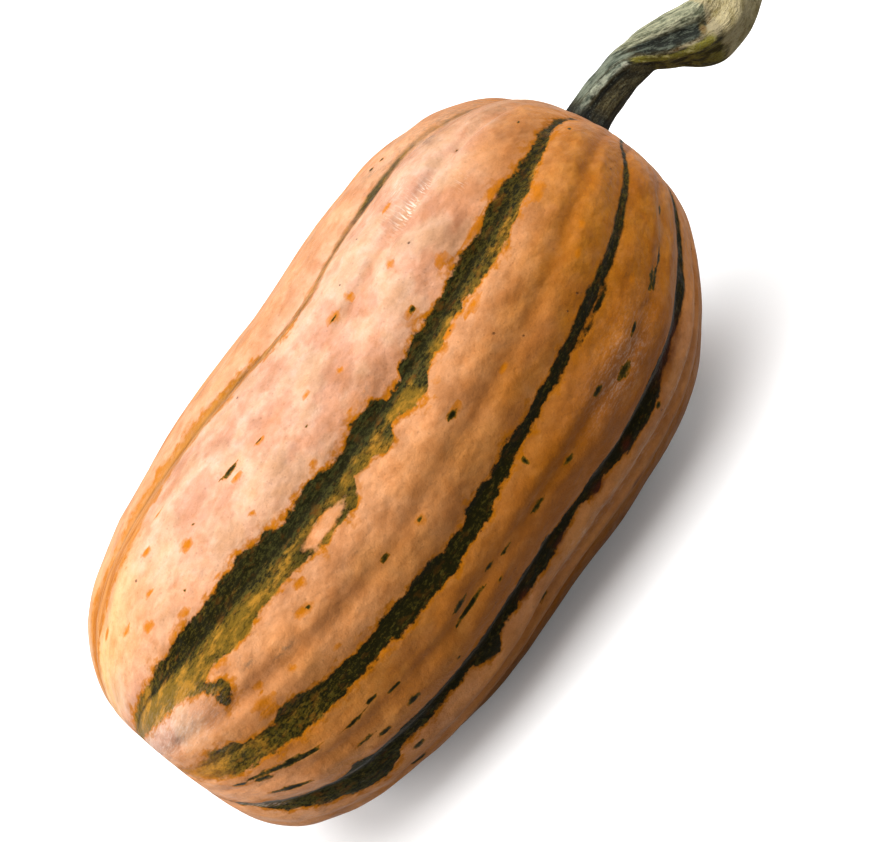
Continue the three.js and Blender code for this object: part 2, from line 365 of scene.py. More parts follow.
darkFlecks = [
    (0.424, 3.46, 0.8, 0.25), (0.531, 3.57, 1.2, 0.4), (0.571, 3.16, 0.9, 0.45),
    (0.812, 2.79, 0.5, 0.4), (0.345, 2.53, 0.6, 0.45), (0.413, 2.34, 1.1, 0.7),
    (0.452, 2.305, 0.9, 0.5), (0.527, 2.54, 1.6, 0.6), (0.18, 1.57, 2, 0.7), (0.317, 1.635, 1.6, 0.5),
    (0.337, 1.555, 2.2, 0.4), (0.422, 1.6, 2.6, 0.7), (0.459, 1.54, 1.6, 0.5), (0.303, 1.3, 1.6, 0.6),
    (0.34, 1.345, 1.8, 0.8), (0.518, 1.46, 2.4, 0.6), (0.558, 1.49, 1.8, 0.6), (0.614, 1.64, 1.4, 0.7),
    (0.642, 1.48, 2.2, 0.9), (0.675, 1.59, 1.7, 0.6), (0.803, 1.43, 1.5, 0.4), (0.536, 1.85, 0.5, 1.1),
    (0.311, 0.75, 1.4, 0.8), (0.645, 0.78, 0.7, 0.5), (0.339, 3.44, 0.45, 0.3), (0.289, 3.23, 0.4, 0.3),
    (0.454, 3.28, 0.45, 0.3), (0.457, 1.38, 0.8, 0.5), (0.39, 1.26, 0.6, 0.4), (0.33, 6.5, 2.6, 0.6),
    (0.45, 6.4, 1.3, 0.7), (0.58, 6.6, 1.8, 0.6), (0.4, 7.5, 2.2, 0.6), (0.52, 8.55, 3, 0.6),
    (0.36, 8.4, 1.5, 0.7), (0.42, 5.5, 1.6, 0.7), (0.6, 5.65, 2.2, 0.6), (0.5, 9.55, 2.4, 0.7),
    (0.3, 0.45, 1.8, 0.6), (0.47, 0.5, 1.4, 0.7), (0.668, 4.24, 0.5, 0.45), (0.655, 4.27, 0.5, 0.6),
    (0.708, 3.57, 0.4, 0.35), (0.775, 3.26, 0.5, 0.3),
]
darkStreaks = [
    (0.391, 3.49, 3, 0.75), (0.213, 1.635, 8.5, 0.95), (0.292, 1.6, 4, 0.5), (0.426, 1.48, 6.4, 0.5),
    (0.478, 1.485, 1.8, 0.4), (0.192, 1.335, 4.8, 0.8), (0.284, 1.365, 2.8, 0.6), (0.75, 1.46, 7, 0.35),
    (0.726, 1.52, 2.8, 0.8), (0.15, 1.6, 3, 0.4), (0.5, 6.55, 5, 0.5), (0.35, 7.4, 4, 0.5),
    (0.6, 8.4, 5, 0.5), (0.4, 9.6, 4, 0.5), (0.55, 5.5, 4, 0.5),
]
bruises = [
    (0.144, 2.42, 1.6, 1.2), (0.642, 3.2, 4.5, 3), (0.702, 3.86, 0.9, 2.2), (0.708, 3.57, 0.8, 1.2),
    (0.664, 3.6, 3, 1), (0.75, 3.3, 4, 1.5),
]

# The marks of age, and the painted shade in the creases and the dark patches.
ageAndShade = {
    "blossomScar": 6.0,  # mm, its radius; the others are strengths from 0 to 1
    "scar": 0.85,
    "bruise": 0.42,
    "creaseShade": 0.55,
    "duskAndShadePatch": 0.95,
}

# Where the amber of the ground colour is stronger or weaker: the same four, then how much.
tonePatches = [
    (0.664, 2.83, 12, 5, -0.5), (0.615, 2.85, 10, 4, -0.35), (0.628, 2.32, 7, 2.5, -0.35),
    (0.49, 2.44, 10, 5, 0.3), (0.57, 2.29, 8, 4, 0.3), (0.755, 2.76, 7, 4, -0.3),
    (0.56, 1.57, 13, 4, 0.4), (0.8, 1.84, 10, 5, 0.35), (0.215, 1.81, 9, 4, 0.5),
    (0.38, 2.12, 8, 3, -0.4),
]

# Soft marks: place, turn, half length and half width as shares of the fruit and of a rib, strength,
# and how abruptly they end along and across. The first list is mostly painted highlight: the pale
# edges where two furrows' near shoulders catch the light, and a painted glint at the end; the rest
# of it is pale dust.
dustAndHighlightMarks = [
    (0.645, 1.53, 0.045, 0.2, 0.65, 2, 2), (0.6, 0.58, 0.11, 0.09, 1.3, 4, 2),
    (0.56, 1.06, 0.13, 0.03, 0.4, 4, 2), (0.135, 0.98, 0.03, 0.03, 1.3, 4, 2),
    (0.645, 3.75, 0.012, 0.06, 1.1, 2, 2),
]
scratches = [
    (0.634, 3.56, 0.012, 0.028, 1.4, 2, 2), (0.658, 3.57, 0.01, 0.03, 0.9, 2, 2),
    (0.682, 3.34, 0.008, 0.04, 0.3, 2, 2), (0.63, 3.62, 0.03, 0.1, 0.2, 2, 2),
]
smears = [
    (0.274, 2.55, 0.01, 0.03, 1, 2, 2), (0.303, 2.43, 0.012, 0.02, 1, 2, 2),
    (0.502, 3.13, 0.006, 0.02, 1, 2, 2), (0.706, 3.92, 0.008, 0.06, 0.9, 2, 2),
    (0.653, 4.23, 0.008, 0.03, 0.8, 2, 2), (0.71, 4.06, 0.08, 0.18, 0.45, 4, 2),
    (0.83, 3.85, 0.1, 0.6, 0.25, 4, 4),
]


# How far each point of the grid lies from a place and turn, in mm: along the fruit and across it.
def distances(grid, place, around):
    return grid["arc"] - grid["arcOf"](place), turnsPast(grid["turn"], around) * grid["ribWidth"]


# A soft patch: exp(-(along / half its length)² - (across / half its width)²).
def patch(grid, place, around, halfLength, halfWidth):
    along, across = distances(grid, place, around)
    return hump(along, 0, halfLength) * hump(across, 0, halfWidth)


# A soft mark, measured in places and turns: strength · exp(-|along|^ending - |across|^sideEnding).
def softMark(grid, place, around, reach, width, strength, ending, sideEnding):
    return strength * hump(grid["t"], place, reach, ending) * hump(grid["turn"], around, width, sideEnding)


# How far inside a stripe each point lies, in mm, less than nothing outside: the nearer of its two
# edges, counted across, and of its two ends, counted along. Its shades come from the same lists.
def paintStripes(grid):
    t, arc, arcOf = grid["t"], grid["arc"], grid["arcOf"]
    inside = np.full(t.shape, -9.0)
    shades = {name: np.zeros(t.shape) for name in ("gold", "teal", "orange")}
    for furrow, stripe in enumerate(stripes):
        away = turnsPast(grid["turn"], furrow)
        upper, lower = readHundredths(stripe["upper"], t), readHundredths(stripe["lower"], t)
        first, last = (arcOf(place / 100) for place in stripe["span"])
        across = np.minimum(away - lower, upper - away) * grid["ribWidth"]
        depth = np.minimum(across, np.minimum(arc - first, last - arc) * stripePaint["endTaper"])
        near = np.abs(away) < stripePaint["reach"]
        inside = np.where(near, np.maximum(inside, depth), inside)
        for name in shades:
            shade = readHundredths(stripe.get(name, [(0, 0)]), t)
            if name == "gold" and "goldBelow" in stripe:
                past = (away - stripePaint["goldLine"]) / stripePaint["goldSoftness"]
                shade = shade + (readHundredths(stripe["goldBelow"], t) - shade) / (1 + np.exp(past))
            shades[name] = np.where(near, shade, shades[name])

    def beyond(place, around, halfLength, halfWidth):
        along, across = distances(grid, place, around)
        return (np.hypot(along / halfLength, across / halfWidth) - 1) * min(halfLength, halfWidth)

    for blot in blots:
        inside = np.maximum(inside, -beyond(*blot))
        share = ramp(beyond(*blot), 1.4, -1.6)
        shades["gold"] = shades["gold"] * (1 - share) + stripePaint["blotGold"] * share
    for island in islands:
        inside = np.minimum(inside, beyond(*island))
    return np.clip(inside, -9, 9), shades


# The nearest fleck's own coordinates: (along / half length, across / half width), and a third that
# rises away from the fleck so that no false one shows between two neighbours.
def paintFlecks(flecks, grid):
    nearest = np.full(grid["t"].shape, 99.0)
    local = [np.zeros(nearest.shape)] * 3
    for place, around, halfLength, halfWidth in flecks:
        along, across = distances(grid, place, around)
        u, v = along / halfLength, across / halfWidth
        outside = np.hypot(along, across) * (1 - 1 / np.maximum(np.hypot(u, v), 1))
        own = [np.clip(u, -6, 6), np.clip(v, -6, 6), ramp(outside, 0.5, 0.8)]
        local = [np.where(outside < nearest, new, old) for new, old in zip(own, local)]
        nearest = np.minimum(outside, nearest)
    return local


# The ground colours, as ramps along and round the fruit: yellow by the blossom end, amber on the
# lower ribs and towards the stem, partly skin tone and partly painted shade on the lower ribs that
# face away from the light, and a pale bloom on the upper rib and at the blossom end, partly skin
# tone and partly painted light on the upper rib that faces it.
def paintGround(grid):
    t, turn = grid["t"], grid["turn"]
    front = ramp(turn, 0.2, 0.6) * ramp(turn, 5.3, -0.7)
    behind = 0.5 + 0.5 * softNoise(fruit["seed"] + 5, t, turn / ribCount, 5, 7)
    yellow = ramp(t, 0.34, -0.16) * hump(turn, 3.8, 0.42)
    # partly painted shade: warmer and darker on the lower ribs, away from the light
    lower = ramp(turn, 2.75, -0.8) * ramp(t, 0.12 + 0.1 * ramp(turn, 1.9, -1), 0.2)
    lower = lower * (1 - 0.5 * hump(t, 0.33, 0.14) * hump(turn, 2.25, 0.22))
    stemEnd = ramp(t, 0.48, 0.16) * ramp(turn, 3.2, -0.4)
    warm = np.maximum(0.75 * lower, stemEnd) * (0.15 + 0.85 * ramp(turn, 0.8, 0.4))
    warm = np.maximum(warm, 0.6 * ramp(t, 0.7, 0.1))
    amber = (front * warm + (1 - front) * (0.2 + 0.6 * behind)) * ramp(t, 0.97, -0.2)
    for *spot, change in tonePatches:
        amber = amber + change * patch(grid, *spot)
    # partly painted light: paler on the upper rib, towards the light
    bloomAndPaintedLight = hump(turn, 3.6, 0.72) * np.maximum(ramp(t, 0.1, 0.2), 0.4) * ramp(t, 0.88, -0.2)
    bloomAndPaintedLight = bloomAndPaintedLight * (1 - 0.7 * ramp(t, 0.64, 0.08) * ramp(turn, 3.5, -0.15))
    bloomAndPaintedLight = 0.9 * front * bloomAndPaintedLight + (1 - front) * (1 - behind) * 0.6
    endPale = ramp(t, 0.26, -0.13)
    endPale = endPale * endPale * (3 - 2 * endPale) * np.maximum(ramp(turn, 2.15, 0.3), 0.25)
    bloomAndPaintedLight = np.maximum(bloomAndPaintedLight, 0.95 * endPale * (1 - 0.7 * yellow))
    return {"yellow": yellow, "amber": np.clip(amber, 0, 1), "bloomAndPaintedLight": bloomAndPaintedLight}, endPale


# The marks of age and the painted shade: dust with painted highlights, scars, scratches and smears,
# where the stripes' edges are calm, and where the skin is darkened: painted shade in the creases and
# in a broad patch on the first rib, dark patches that are partly painted shade and partly darker
# skin, and the thin brown line of the fourth rib.
def paintAgeAndShade(grid, endPale):
    t, turn = grid["t"], grid["turn"]
    # painted highlights on the furrows' shoulders, a painted glint, pale dust, and dust at the blossom end
    dustAndHighlight = [softMark(grid, *mark) for mark in dustAndHighlightMarks] + [endPale * hump(turn, 2.42, 0.3)]
    scars = [hump(grid["mean"], 0, ageAndShade["blossomScar"]) * (t < 0.5)]
    scars += [ageAndShade["scar"] * patch(grid, *spot) for spot in scarPatches]
    scars += [ageAndShade["bruise"] * patch(grid, *spot) for spot in bruises]
    calm = [
        ramp(t, 0.55, 0.2) * ramp(turn, 2.6, -0.3),
        ramp(t, 0.5, 0.1) * hump(turn, 4, 0.25, 4),
        softMark(grid, 0.402, 2.825, 0.05, 0.055, 1, 4, 4),
    ]
    # painted shade in the creases and in a broad patch on the first rib, dark patches that are partly
    # painted shade, and the brown line
    brownLine = readList([(0.5, 3.52), (0.56, 3.55), (0.61, 3.585), (0.66, 3.53)], t)
    duskAndShade = [ageAndShade["creaseShade"] * grid["crease"], softMark(grid, 0.57, 1.35, 0.17, 0.5, 1, 4, 4)]
    duskAndShade += [ageAndShade["duskAndShadePatch"] * patch(grid, *spot) for spot in duskAndShadePatches]
    duskAndShade += [hump(t, 0.59, 0.08, 4) * hump(turn, brownLine, 0.028)]
    masks = {"dustAndHighlight": dustAndHighlight, "scar": scars, "calm": calm, "duskAndShade": duskAndShade}
    masks = {name: np.maximum.reduce(layers) for name, layers in masks.items()}
    masks["scratch"] = sum(softMark(grid, *mark) for mark in scratches)
    masks["smear"] = sum(softMark(grid, *mark) for mark in smears)
    return masks


# A closed mesh from a grid of rings and a point at each end, given in mm about the fruit's axis.
# values: name -> one number or a list of three for each vertex, kept as attributes.
def ringMesh(name, rings, firstPole, lastPole, values):
    rows, columns = rings.shape[:2]
    points = np.concatenate([rings.reshape(-1, 3), firstPole[None], lastPole[None]])
    index = np.arange(rows * columns).reshape(rows, columns)
    beside = np.roll(index, -1, 1)
    quads = np.stack([index[:-1], beside[:-1], beside[1:], index[1:]], -1).reshape(-1, 4)
    first = np.stack([beside[0], index[0], np.full(columns, rows * columns)], -1)
    last = np.stack([index[-1], beside[-1], np.full(columns, rows * columns + 1)], -1)
    loops = np.concatenate([quads.ravel(), first.ravel(), last.ravel()]).astype(np.int32)
    sizes = np.concatenate([np.full(len(quads), 4), np.full(2 * columns, 3)])
    mesh = bpy.data.meshes.new(name)
    mesh.vertices.add(len(points))
    mesh.vertices.foreach_set("co", ((points + groupShift) * millimetre).astype(np.float32).ravel())
    mesh.loops.add(len(loops))
    mesh.loops.foreach_set("vertex_index", loops)
    mesh.polygons.add(len(sizes))
    mesh.polygons.foreach_set("loop_start", (np.cumsum(sizes) - sizes).astype(np.int32))
    mesh.update(calc_edges=True)
    mesh.validate()
    mesh.shade_smooth()
    for label, value in values.items():
        wide = isinstance(value, list)
        value = np.stack(value, -1).reshape(rows, columns, 3) if wide else value
        attribute = mesh.attributes.new(label, "FLOAT_VECTOR" if wide else "FLOAT", "POINT")
        flat = value.reshape(-1, 3) if wide else value.reshape(-1)
        flat = np.concatenate([flat, value[0].mean(0)[None], value[-1].mean(0)[None]])
        attribute.data.foreach_set("vector" if wide else "value", flat.astype(np.float32).ravel())
    piece = bpy.data.objects.new(name, mesh)
    bpy.context.scene.collection.objects.link(piece)
    return piece


# Masks are kept three to an attribute, in the order of a list of their names.
skinMasks = [
    "gold", "teal", "orange", "yellow", "amber", "bloomAndPaintedLight",
    "dustAndHighlight", "scar", "furrow", "scratch", "smear", "calm",
]


def trios(names):
    return {f"masks{first // 3}": names[first : first + 3] for first in range(0, len(names), 3)}


def packMasks(masks, names):
    return {label: [masks[name] for name in trio] for label, trio in trios(names).items()}


# A straight tube to read grain and fibres on: its length and a circle of one radius, in metres.
def straightTube(length, radius, angle):
    return [length * millimetre, radius * np.cos(angle) * millimetre, radius * np.sin(angle) * millimetre]


def makeFruit():
    rows, columns = fruit["rows"], fruit["columnsPerRib"] * ribCount
    places, turns = np.linspace(0, 1, rows + 1)[1:-1], np.arange(columns) * ribCount / columns
    t, turn = np.meshgrid(places, turns, indexing="ij")
    surface, facts = skinSurface(t, turn)
    poles, _ = skinSurface(np.array([[0.0], [1.0]]), np.zeros((2, 1)))
    # length along a meridian, for patterns that run with the ribs
    side = np.linspace(0, 1, 401)
    mean = (curveAlong(fruit["upperLine"], side) - curveAlong(fruit["lowerLine"], side)) / 2
    run = np.sin((2 * side - 1) * np.pi / 2) * fruit["length"] / 2
    lengths = np.concatenate([[0], np.cumsum(np.hypot(np.diff(run), np.diff(mean)))])

    def arcOf(place):
        return np.interp(place, side, lengths)

    ribWidth = facts["mean"] * np.radians(facts["gap"])
    grid = {**facts, "t": t, "turn": turn, "arc": arcOf(t), "arcOf": arcOf, "ribWidth": ribWidth}
    stripe, shades = paintStripes(grid)
    ground, endPale = paintGround(grid)
    marks = paintAgeAndShade(grid, endPale)
    values = {
        "flow": straightTube(grid["arc"], fruit["flowRadius"], facts["angle"]),
        "stripe": stripe,
        "duskAndShade": marks["duskAndShade"],
        **packMasks({**shades, **ground, **marks, "furrow": facts["furrow"]}, skinMasks),
    }
    spots = {"orangeFleck": orangeFlecks, "darkFleck": darkFlecks, "darkStreak": darkStreaks}
    values.update({name: paintFlecks(flecks, grid) for name, flecks in spots.items()})
    return ringMesh("squash_skin", surface, poles[0, 0], poles[1, 0], values)


# The stem's measures: lists run through ten places from the root to the cut end, in mm.
stem = {
    "along": [72, 79, 85, 91, 97, 102.5, 108, 113.3, 118, 122],  # distance along the fruit's axis
    "rise": [14.7, 16.15, 16.5, 16.45, 15.7, 12.7, 9.5, 8.2, 9.2, 11.2],  # and above it
    "radius": [5.4, 4.6, 4.4, 4.4, 4.55, 5.55, 6.35, 6.4, 6.2, 6.3],
    "ridgeTurn": [34, 32, 28, 12, -34, -40, -36, -26, -12, -6],  # degrees round of the first ridge
    "ridgeCount": 5,
    "ridgeHeight": 0.17,  # ridges and hollow are shares of the radius
    "hollowDepth": [0, 0, 0, 0.04, 0.14, 0.24, 0.24, 0.1, 0, 0],
    "hollowMiddle": 44.0,  # degrees past the first ridge
    "hollowReach": 26.0,
    "fibreHeight": 0.13,
    "wingHeight": 1.45,  # the fold that swells under the bend
    "knobHeight": 0.5,
    "knotHeight": 0.13,  # broad unevenness of the dried bark
    # the rings of the cut end: share of the radius, and how far out of the rim's plane
    "cutRings": [
        (0.97, 0.35), (0.9, 0.3), (0.8, 0.1), (0.66, -0.1), (0.5, -0.25), (0.34, -0.5), (0.18, -0.9),
    ],
    "pithDip": -1.1,
    "flowLength": 56.0,  # the straight tube that the bark's patterns are read on
    "flowRadius": 5.5,
    "rows": 200,
    "columns": 200,
    "seed": 11,
}


# The bark at t from the root to the cut end and at an angle round: a ring square to the centre
# line, with sharp ridges that turn as they run, one long hollow, a knob, a fold and fibres along it.
def barkSurface(t, angle):
    along, rise = curveAlong(stem["along"], t), curveAlong(stem["rise"], t)
    ahead, behind = np.minimum(t + 0.01, 1), np.maximum(t - 0.01, 0)
    heading = [curveAlong(stem[name], ahead) - curveAlong(stem[name], behind) for name in ("along", "rise")]
    forward, upward = np.array(heading) / np.hypot(*heading)
    past = np.degrees(angle) - curveAlong(stem["ridgeTurn"], t)
    ridge = (0.5 + 0.5 * np.cos(stem["ridgeCount"] * np.radians(past))) ** 1.5 - 0.4
    ridge = ridge * stem["ridgeHeight"] * (1 - 0.55 * hump(t, 0.4, 0.12))
    aside = wrapped(past - stem["hollowMiddle"])
    hollow = curveAlong(stem["hollowDepth"], t) * hump(aside, 0, stem["hollowReach"])
    around = (past / 360) % 1
    radius = curveAlong(stem["radius"], t) * (1 + ridge - hollow)
    radius = radius + stem["knotHeight"] * softNoise(stem["seed"], t, around, 12, 9)
    radius = radius + stem["fibreHeight"] * softNoise(stem["seed"] + 1, t, around, 14, 48)
    radius = radius + stem["knobHeight"] * hump(t, 0.325, 0.025) * hump(wrapped(past + 2), 0, 12)
    radius = radius + stem["wingHeight"] * hump(t, 0.68, 0.08) * hump(wrapped(past + 64), 0, 34)
    front, over = radius * np.cos(angle), radius * np.sin(angle)
    lift, lean = rise + over * forward, math.radians(fruit["lean"])
    y = lift * math.sin(lean) - front * math.cos(lean)
    z = lift * math.cos(lean) + front * math.sin(lean)
    centre = np.stack([along, rise * math.sin(lean), rise * math.cos(lean)], -1)
    return np.stack([along - over * upward, y, z], -1), centre, wrapped(past)


# The bark's zones in the order that they are painted: name, dark and light tone, which unevenness
# mixes the two and between which values, and the zone's strength.
barkZones = [
    ("leftBand", "greyDark", "grey", "both", 0.8, 1.2, 1.0),
    ("upperBand", "bandDark", "band", "both", 0.8, 1.2, 1.0),
    # the hollow's dark tone is partly painted shade, partly the bark's own colour
    ("hollow", "hollow", "hollowPale", "both", 0.95, 1.25, 1.0),
    ("wing", "oliveDark", "olive", "blotch", 0.4, 0.62, 1.0),
    ("tan", "tanDark", "tan", "blotch", 0.3, 0.6, 1.0),
    ("rim", "creamBrown", "cream", "blotch", 0.3, 0.5, 1.0),
    ("brownPatch", "tanDark", "creamBrown", "blotch", 0.4, 0.62, 0.8),
    # the pale ridge is partly painted highlight on the crest, partly pale bark
    ("paleRidgeAndHighlight", "greyDark", "pale", "blotch", 0.34, 0.58, 1.0),
    ("blackStreak", "black", "flank", "blotch", 0.5, 0.7, 0.95),
    ("yellowRidge", "yellow", "yellowLight", "blotch", 0.5, 0.68, 1.0),
    ("knob", "pale", "knob", "fibre", 0.42, 0.64, 1.0),
    ("base", "root", "flank", "blotch", 0.5, 0.75, 0.85),
]
barkMasks = [zone[0] for zone in barkZones]


# Where each zone lies: windows and humps in t along the stem and in degrees past its first ridge.
def paintBark(t, past):
    def window(value, low, high, soft):
        return ramp(value, low, soft) * ramp(value, high, -soft)

    crest = readList([(0.34, -4), (0.5, -7), (0.6, -3), (0.67, 4), (1, 6)], t)
    hollowEnd = 0.628 + 0.0009 * np.clip(past, 0, 70)
    rim = window(past, -2, 120, 12) * ramp(t, hollowEnd + 0.005, 0.02) * ramp(t, 0.735, -0.05)
    lip = hump(past, crest + 12, 5) * window(t, 0.48, 0.68, 0.05)
    return {
        "leftBand": window(past, 2, 150, 22) * window(t, 0.08, 0.42, 0.08),
        "upperBand": window(past, 40, 165, 26) * window(t, 0.3, 1.1, 0.1),
        # partly painted shade in the hollow
        "hollow": window(past, 4, 62, 18) * ramp(t, 0.36, 0.06) * ramp(t, hollowEnd, -0.02),
        "wing": window(past, -110, -4, 14) * window(t, 0.38, 0.75, 0.07),
        "tan": ramp(t, 0.675, 0.05),
        "rim": np.maximum(rim, 0.8 * lip),
        "brownPatch": hump(t, 0.655, 0.014) * hump(past, 30, 16),
        # partly painted highlight along the ridge crest
        "paleRidgeAndHighlight": hump(past, -2, 11) * window(t, 0.05, 0.37, 0.05),
        "blackStreak": hump(past, -24, 8) * window(t, -0.1, 0.36, 0.06),
        "yellowRidge": hump(past, crest, 10) * window(t, 0.335, 0.69, 0.035),
        "knob": hump(t, 0.325, 0.014) * hump(past, -5, 8),
        "base": ramp(t, 0.14, -0.06),
    }


def makeStem():
    places = np.linspace(0, 1, stem["rows"])
    angles = -np.arange(stem["columns"]) * 2 * np.pi / stem["columns"]
    t, angle = np.meshgrid(places, angles, indexing="ij")
    surface, centre, past = barkSurface(t, angle)
    # the cut end: rings that close inwards, a little hollow at the pith
    heart = centre[-1, 0]
    heading = heart - centre[-4, 0]
    heading = heading / np.linalg.norm(heading)
    shares, beyond = np.array(stem["cutRings"]).T[..., None]
    endRings = heart + (surface[-1] - heart)[None] * shares[..., None] + beyond[..., None] * heading
    cut = np.concatenate([np.zeros(t.shape), np.repeat(1 - shares, stem["columns"], 1) + 0.001])
    t = np.concatenate([t, np.ones((len(shares), stem["columns"]))])
    past = np.concatenate([past, np.repeat(past[-1:], len(shares), 0)])
    values = {
        "flow": straightTube(t * stem["flowLength"], stem["flowRadius"], np.radians(past)),
        "cut": cut,
        **packMasks(paintBark(t, past), barkMasks),
    }
    rings = np.concatenate([surface, endRings])
    return ringMesh("squash_stem", rings, centre[0, 0], heart + stem["pithDip"] * heading, values)


# Short names for the shader nodes.
def addNode(tree, kind, feeds=None, **settings):
    node = tree.nodes.new("ShaderNode" + kind)
    for name, value in settings.items():
        setattr(node, name, value)
    for key, value in (feeds or {}).items():
        if isinstance(value, bpy.types.NodeSocket):
            tree.links.new(value, node.inputs[key])
        else:
            node.inputs[key].default_value = value
    return node


def calc(tree, operation, first, second=0.0, third=0.0):
    return addNode(tree, "Math", {0: first, 1: second, 2: third}, operation=operation).outputs[0]


def times(tree, first, second):
    return calc(tree, "MULTIPLY", first, second)


# base + value × factor
def plus(tree, base, value, factor=1.0):
    return calc(tree, "MULTIPLY_ADD", value, factor, base)


# base, moved up and down by a noise about its middle of a half
def sway(tree, base, field, amount):
    return plus(tree, base, calc(tree, "SUBTRACT", field, 0.5), amount)


def blendColour(tree, share, first, second):
    feeds = {0: share, 6: first, 7: second}
    return addNode(tree, "Mix", feeds, data_type="RGBA").outputs[2]


def rise(tree, value, low, high, toLow=0.0, toHigh=1.0):
    feeds = {"Value": value, "From Min": low, "From Max": high, "To Min": toLow, "To Max": toHigh}
    return addNode(tree, "MapRange", feeds, interpolation_type="SMOOTHSTEP").outputs[0]


def noise(tree, place, scale, detail=2.0, roughness=0.5):
    feeds = {"Vector": place, "Scale": scale, "Detail": detail, "Roughness": roughness}
    return addNode(tree, "TexNoise", feeds).outputs[0]


def stretch(tree, place, amounts):
    return addNode(tree, "VectorMath", {0: place, 1: amounts}, operation="MULTIPLY").outputs[0]


def readNumber(tree, name):
    return addNode(tree, "Attribute", attribute_name=name).outputs["Fac"]


def readVector(tree, name):
    return addNode(tree, "Attribute", attribute_name=name).outputs["Vector"]


def parts(tree, vector):
    return addNode(tree, "SeparateXYZ", {0: vector}).outputs


def readMasks(tree, names):
    masks = {}
    for label, trio in trios(names).items():
        masks.update(zip(trio, parts(tree, readVector(tree, label))))
    return masks


# A tone given as red, green and blue from 0 to 255, made linear as shaders count it.
def shade(tone):
    linear = [((c / 255 + 0.055) / 1.055) ** 2.4 if c > 10 else c / 255 / 12.92 for c in tone]
    return (*linear, 1.0)


# inputs: name -> starting value, or None for a place. The outputs are masks and fields.
def startGroup(name, inputs, outputs):
    group = bpy.data.node_groups.new(name, "ShaderNodeTree")
    for label, value in inputs.items():
        kind = "NodeSocketVector" if value is None else "NodeSocketFloat"
        socket = group.interface.new_socket(label, in_out="INPUT", socket_type=kind)
        if value is not None:
            socket.default_value = value
    for label in outputs:
        group.interface.new_socket(label, in_out="OUTPUT", socket_type="NodeSocketFloat")
    return group, group.nodes.new("NodeGroupInput").outputs, group.nodes.new("NodeGroupOutput").inputs


def useGroup(tree, group, feeds):
    return addNode(tree, "Group", feeds, node_tree=group).outputs


# A mask whose edge is where a field passes zero, made ragged by two sizes of noise.
def makeRaggedEdge():
    inputs = {"Field": 0.0, "Place": None, "Scale": 300.0, "Amount": 1.0, "Softness": 0.15}
    group, given, out = startGroup("raggedEdge", inputs, ["Mask", "Field"])
    broad = noise(group, given["Place"], given["Scale"], 2.0, 0.55)
    fine = noise(group, given["Place"], times(group, given["Scale"], 4.3), 2.0, 0.6)
    both = sway(group, calc(group, "SUBTRACT", broad, 0.5), fine, 0.4)
    field = plus(group, given["Field"], both, given["Amount"])
    low = times(group, given["Softness"], -1.0)
    group.links.new(rise(group, field, low, given["Softness"]), out["Mask"])
    group.links.new(field, out["Field"])
    return group


# Small round spots scattered at random: only a share of the cells holds one.
def makeSpots():
    inputs = {"Place": None, "Scale": 200.0, "Size": 0.15, "Share": 0.3}
    group, given, out = startGroup("scatteredSpots", inputs, ["Mask"])
    cells = addNode(group, "TexVoronoi", {"Vector": given["Place"], "Scale": given["Scale"]})
    chance = addNode(group, "SeparateColor", {0: cells.outputs["Color"]}).outputs
    size = times(group, given["Size"], plus(group, 0.5, chance[1], 0.8))
    dot = rise(group, calc(group, "DIVIDE", cells.outputs["Distance"], size), 1.2, 0.6)
    held = calc(group, "LESS_THAN", chance[0], given["Share"])
    group.links.new(times(group, dot, held), out["Mask"])
    return group


raggedEdge, scatteredSpots = makeRaggedEdge(), makeSpots()
print("node groups made")


# Gives a function that lays a tone or colour over another, as strongly as the shares' product.
def layering(tree, tones):
    def over(under, upper, *shares):
        share = shares[0]
        for other in shares[1:]:
            share = times(tree, share, other)
        under, upper = (shade(tones[c]) if isinstance(c, str) else c for c in (under, upper))
        return blendColour(tree, share, under, upper)

    return over


# The look's noises, each read in its own coordinates: the piece's, or the straight tube's stretched.
def makeFields(tree, look):
    flow = readVector(tree, "flow")
    spaces = {name: stretch(tree, flow, amounts) for name, amounts in look["spaces"].items()}
    spaces["place"] = addNode(tree, "TexCoord").outputs["Object"]
    fields = {name: noise(tree, spaces[space], *rest) for name, (space, *rest) in look["noises"].items()}
    return spaces, fields


def startMaterial(name):
    material = bpy.data.materials.new(name)
    material.use_nodes = True
    tree = material.node_tree
    tree.nodes.clear()
    out = tree.nodes.new("ShaderNodeOutputMaterial")
    shader = tree.nodes.new("ShaderNodeBsdfPrincipled")
    tree.links.new(shader.outputs[0], out.inputs[0])
    return material, tree, shader


def finishMaterial(tree, shader, look, colour, rough, relief):
    feeds = {"Height": relief, "Strength": look["bumpStrength"], "Distance": look["bumpDistance"]}
    bump = addNode(tree, "Bump", feeds).outputs[0]
    for label, value in {"Base Color": colour, "Roughness": rough, "Normal": bump}.items():
        tree.links.new(value, shader.inputs[label])
    for label, value in look["sockets"].items():
        shader.inputs[label].default_value = value


